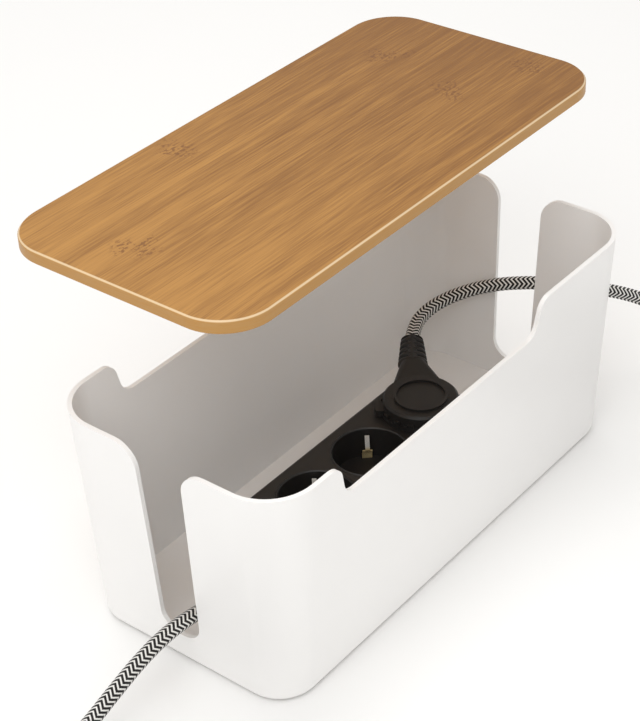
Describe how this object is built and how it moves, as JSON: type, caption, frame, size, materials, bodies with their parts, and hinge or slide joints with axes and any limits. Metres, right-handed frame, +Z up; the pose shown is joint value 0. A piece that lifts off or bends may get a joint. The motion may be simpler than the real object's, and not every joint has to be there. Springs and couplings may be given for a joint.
{
  "type": "lidded cable box",
  "caption": "Open-topped plastic box with a bamboo lid that lifts off, holding a mains power strip, with notches in both ends for the braided leads.",
  "frame": {"origin": "on the surface that the tub stands on, under the middle of the tub", "axes": "+X along the tub from the end where the supply lead leaves to the end where the plugged-in lead leaves, -Y is the front wall, +Z is up"},
  "size_m": [0.5104, 0.3183, 0.1945],
  "materials": {
    "bamboo": "satin varnished bamboo, grain along the length",
    "black_plastic": "fine grained black plastic",
    "black_rubber": "soft black moulded rubber",
    "braid": "white braid with thin black zigzag stripes",
    "brass_bar": "plain rolled brass",
    "clear_rubber": "soft translucent rubber",
    "hard_plastic": "hard dark grey plastic",
    "plated_metal": "nickel plated",
    "steel_screws": "zinc plated steel",
    "tie_black": "black hook and loop tape",
    "tub_plastic": "white satin moulded plastic",
    "wire_blue": "blue insulation",
    "wire_brown": "brown insulation",
    "wire_green": "green and yellow insulation"
  },
  "bodies": {
    "box": {"clamp_screws": "steel_screws", "connector_body": "black_rubber", "connector_contacts": "plated_metal", "connector_relief": "black_rubber", "cord_clamp": "black_plastic", "earth_bar": "brass_bar", "earth_clip_1": "plated_metal", "earth_clip_2": "plated_metal", "earth_clip_3": "plated_metal", "earth_wire": "wire_green", "live_bar": "brass_bar", "live_wire": "wire_brown", "neutral_bar": "brass_bar", "neutral_wire": "wire_blue", "plug_cord": "braid", "plug_cord_coil": "braid", "plug_cord_end": "braid", "plug_cord_tie": "tie_black", "socket_insert_1": "black_plastic", "socket_insert_2": "black_plastic", "socket_insert_3": "black_plastic", "strip_base": "black_plastic", "strip_cover": "black_plastic", "strip_screws": "steel_screws", "supply_cord": "braid", "supply_cord_coil": "braid", "supply_cord_tail": "braid", "supply_cord_tie": "tie_black", "supply_gland": "black_rubber", "supply_plug_body": "black_rubber", "supply_plug_bridge": "hard_plastic", "supply_plug_earth_contacts": "plated_metal", "supply_plug_pins": "plated_metal", "supply_plug_relief": "black_rubber", "tub": "tub_plastic", "tub_feet": "clear_rubber"},
    "lid": {"lid_board": "bamboo", "lid_pads": "clear_rubber"},
    "plug": {"plug_body": "black_rubber", "plug_bridge": "hard_plastic", "plug_pins": "plated_metal", "plug_earth_contacts": "plated_metal", "plug_relief": "black_rubber"}
  },
  "joints": [
    {"name": "lid_lift", "type": "slide", "parent": "box", "child": "lid", "axis": [0.3178, 0.5319, 0.7849], "range_m": [-0.07693, 0]},
    {"name": "plug_pull", "type": "slide", "parent": "box", "child": "plug", "axis": [0, 0, 1], "range_m": [0, 0.038]}
  ]
}
